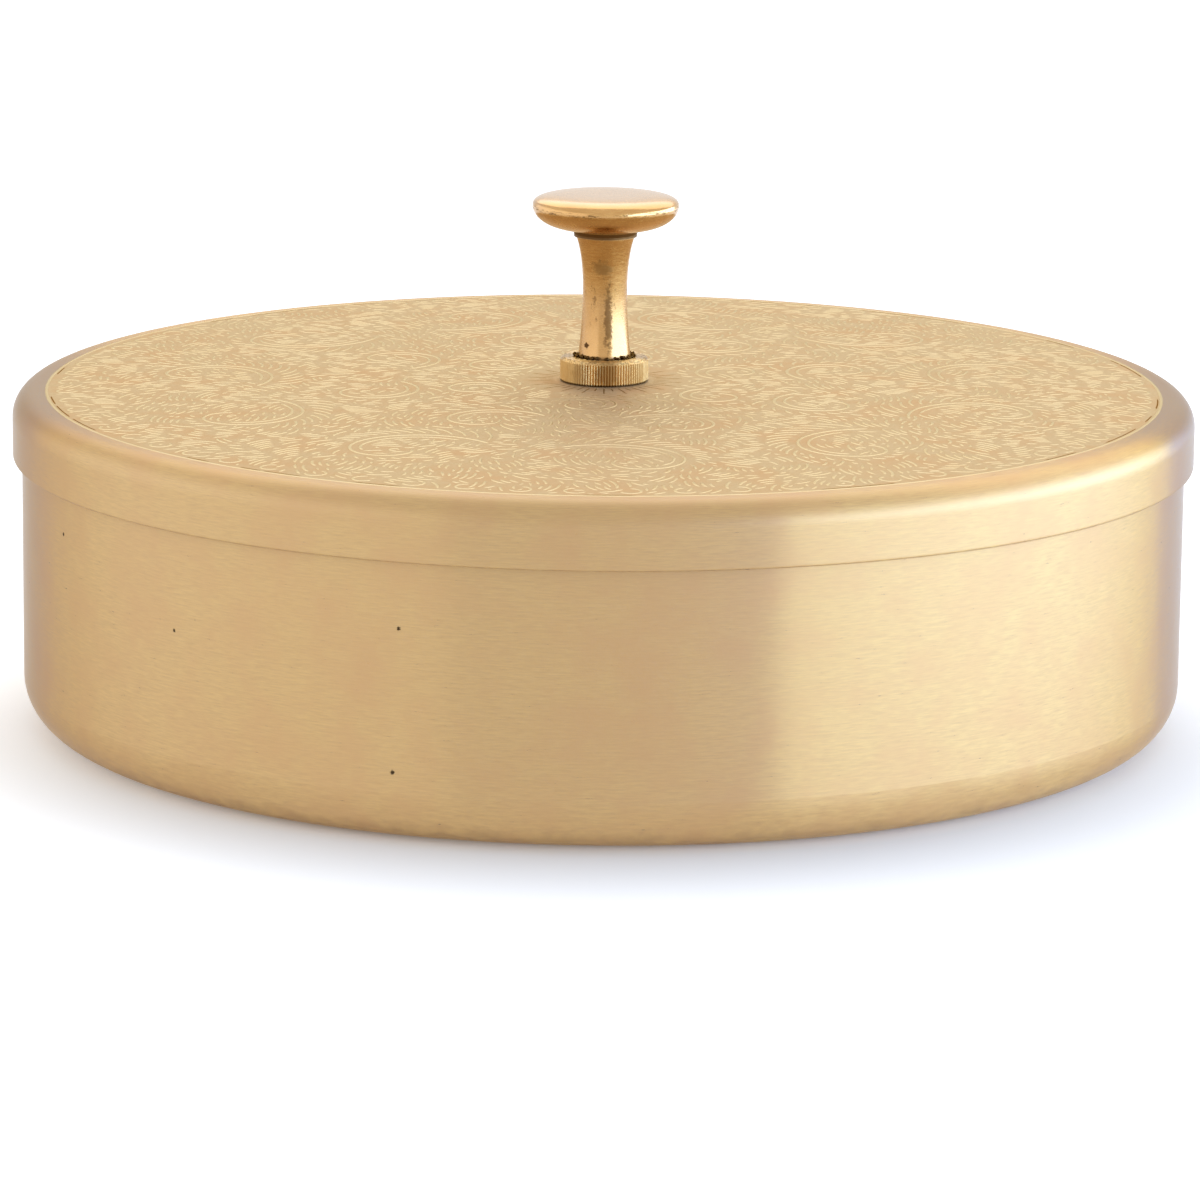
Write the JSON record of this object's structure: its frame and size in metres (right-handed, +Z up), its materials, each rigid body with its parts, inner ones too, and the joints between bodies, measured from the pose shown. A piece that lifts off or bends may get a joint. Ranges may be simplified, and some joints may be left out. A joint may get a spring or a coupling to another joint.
{
  "type": "spice box",
  "caption": "Round brass spice box with a lift-off etched lid, a turned knob, loose inner cups and a small spoon.",
  "frame": {"origin": "middle of the box's flat base, on the surface that it stands on", "axes": "+Z up along the box's axis, through the knob; +X along the spoon's handle, from its bowl to its end"},
  "size_m": [0.2326, 0.2326, 0.1048],
  "materials": {
    "brushed_brass": "satin, brushed round its axis",
    "etched_brass": "satin, brushed, with a shallow etched scroll pattern on top",
    "knurled_brass": "turned, with a fine straight knurl",
    "polished_brass": "turned and polished, darkened in its grooves",
    "screw_brass": "turned, dull",
    "washer_brass": "stamped, dull",
    "spoon_brass": "polished",
    "cup_brass": "satin, spun"
  },
  "bodies": {
    "box": {"box": "brushed_brass"},
    "lid": {"lid": "etched_brass", "knob_collar": "knurled_brass", "knob": "polished_brass", "knob_screw": "screw_brass", "knob_washer": "washer_brass"},
    "cup_centre": {"cup_centre": "cup_brass"},
    "cup_1": {"cup_1": "cup_brass"},
    "cup_2": {"cup_2": "cup_brass"},
    "cup_3": {"cup_3": "cup_brass"},
    "cup_4": {"cup_4": "cup_brass"},
    "cup_5": {"cup_5": "cup_brass"},
    "cup_6": {"cup_6": "cup_brass"},
    "spoon": {"spoon": "spoon_brass"}
  },
  "joints": [
    {"name": "lid_lift", "type": "slide", "parent": "box", "child": "lid", "axis": [0, 0, 1], "range_m": [0, 0.2]},
    {"name": "cup_centre_lift", "type": "slide", "parent": "box", "child": "cup_centre", "axis": [0, 0, 1], "range_m": [0, 0.07]},
    {"name": "cup_1_lift", "type": "slide", "parent": "box", "child": "cup_1", "axis": [0, 0, 1], "range_m": [0, 0.07]},
    {"name": "cup_2_lift", "type": "slide", "parent": "box", "child": "cup_2", "axis": [0, 0, 1], "range_m": [0, 0.07]},
    {"name": "cup_3_lift", "type": "slide", "parent": "box", "child": "cup_3", "axis": [0, 0, 1], "range_m": [0, 0.07]},
    {"name": "cup_4_lift", "type": "slide", "parent": "box", "child": "cup_4", "axis": [0, 0, 1], "range_m": [0, 0.07]},
    {"name": "cup_5_lift", "type": "slide", "parent": "box", "child": "cup_5", "axis": [0, 0, 1], "range_m": [0, 0.07]},
    {"name": "cup_6_lift", "type": "slide", "parent": "box", "child": "cup_6", "axis": [0, 0, 1], "range_m": [0, 0.07]},
    {"name": "spoon_lift", "type": "slide", "parent": "box", "child": "spoon", "axis": [0, 0, 1], "range_m": [0, 0.1]}
  ],
  "couplings": [
    {"joint": "cup_centre_lift", "follows": "lid_lift", "ratio": 0.35},
    {"joint": "cup_1_lift", "follows": "lid_lift", "ratio": 0.35},
    {"joint": "cup_2_lift", "follows": "lid_lift", "ratio": 0.35},
    {"joint": "cup_3_lift", "follows": "lid_lift", "ratio": 0.35},
    {"joint": "cup_4_lift", "follows": "lid_lift", "ratio": 0.35},
    {"joint": "cup_5_lift", "follows": "lid_lift", "ratio": 0.35},
    {"joint": "cup_6_lift", "follows": "lid_lift", "ratio": 0.35},
    {"joint": "spoon_lift", "follows": "lid_lift", "ratio": 0.5}
  ]
}
